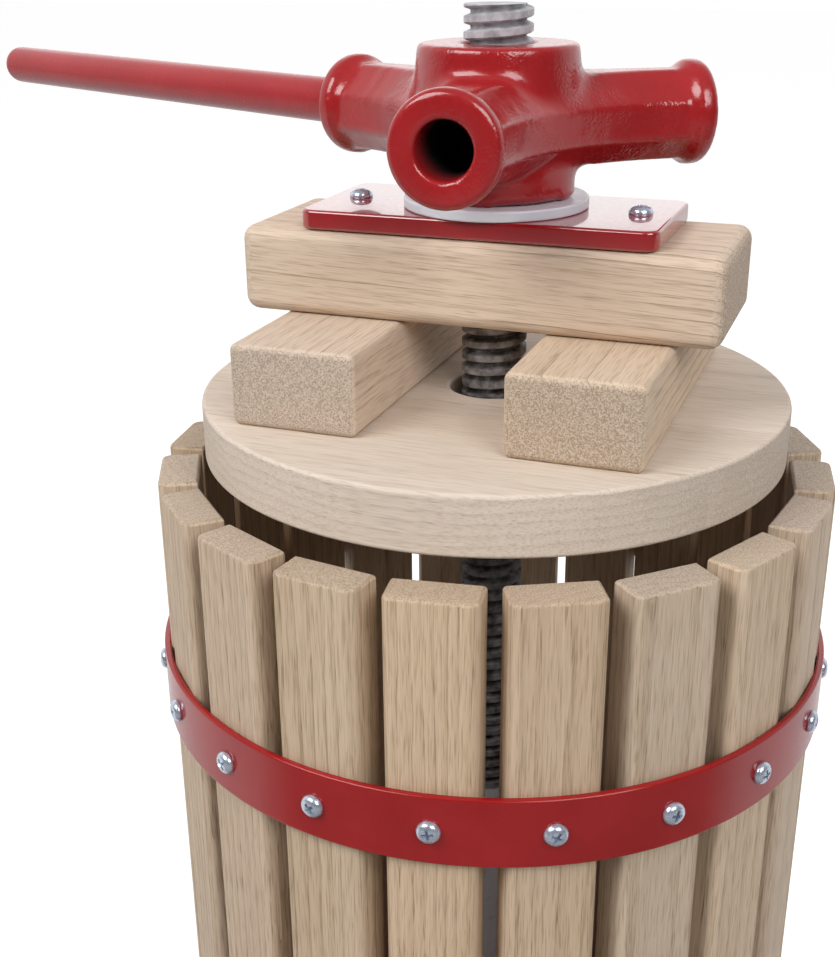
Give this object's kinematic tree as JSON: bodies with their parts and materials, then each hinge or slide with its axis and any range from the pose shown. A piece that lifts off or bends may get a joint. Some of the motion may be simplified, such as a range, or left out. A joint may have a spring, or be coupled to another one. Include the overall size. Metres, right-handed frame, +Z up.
{
  "type": "fruit press",
  "caption": "Standing hand screw press with a slatted oak basket, press disc, blocks, cross beam and a three-armed cast head with a handle bar.",
  "frame": {"origin": "on the spindle's axis at floor level, in the middle of the bolt circle through the feet", "axes": "+Z up the spindle, +X along the cross beam, -Y towards the spout"},
  "size_m": [0.5401, 0.4282, 0.7125],
  "materials": {
    "stave_oak": "planed, unvarnished oak",
    "press_oak": "planed and sanded, unvarnished oak",
    "hoop_red": "semi-gloss red paint",
    "plate_red": "gloss red paint",
    "cast_red": "gloss red paint over a rough casting",
    "bar_red": "satin red paint",
    "base_red": "semi-gloss red paint",
    "zinc_steel": "bright zinc plating",
    "screw_steel": "dark oiled steel",
    "white_nylon": "natural white nylon"
  },
  "bodies": {
    "base": {"juice_tray": "base_red", "bearer": "base_red", "leg_rear": "base_red", "leg_left": "base_red", "leg_right": "base_red", "leg_bolts": "zinc_steel", "leg_nuts": "zinc_steel", "spindle": "screw_steel", "spindle_collar": "screw_steel", "clamp_washer": "zinc_steel", "clamp_nut": "zinc_steel"},
    "basket": {"stave_01": "stave_oak", "stave_02": "stave_oak", "stave_03": "stave_oak", "stave_04": "stave_oak", "stave_05": "stave_oak", "stave_06": "stave_oak", "stave_07": "stave_oak", "stave_08": "stave_oak", "stave_09": "stave_oak", "stave_10": "stave_oak", "stave_11": "stave_oak", "stave_12": "stave_oak", "stave_13": "stave_oak", "stave_14": "stave_oak", "stave_15": "stave_oak", "stave_16": "stave_oak", "stave_17": "stave_oak", "stave_18": "stave_oak", "stave_19": "stave_oak", "stave_20": "stave_oak", "hoop_upper": "hoop_red", "hoop_lower": "hoop_red", "hoop_screws_upper": "zinc_steel", "hoop_screws_lower": "zinc_steel"},
    "press_stack": {"press_disc": "press_oak", "block_left": "press_oak", "block_right": "press_oak", "cross_beam": "press_oak", "pressure_plate": "plate_red", "plate_screws": "zinc_steel", "thrust_washer": "white_nylon"},
    "head": {"press_head": "cast_red"},
    "handle": {"handle_bar": "bar_red"}
  },
  "joints": [
    {"name": "press_slide", "type": "slide", "parent": "base", "child": "press_stack", "axis": [0, 0, 1], "range_m": [-0.09, 0.012]},
    {"name": "head_turn", "type": "hinge", "parent": "press_stack", "child": "head", "pos_m": [0, 0, 0.66765], "axis": [0, 0, 1], "range_deg": [-5400, 720]},
    {"name": "handle_slide", "type": "slide", "parent": "head", "child": "handle", "axis": [-0.9063, 0.4226, 0], "range_m": [0, 0.045]},
    {"name": "basket_lift", "type": "slide", "parent": "base", "child": "basket", "axis": [0, 0, 1], "range_m": [0, 0.03]}
  ],
  "couplings": [
    {"joint": "press_slide", "follows": "head_turn", "m_per_rad": 0.00095492}
  ]
}
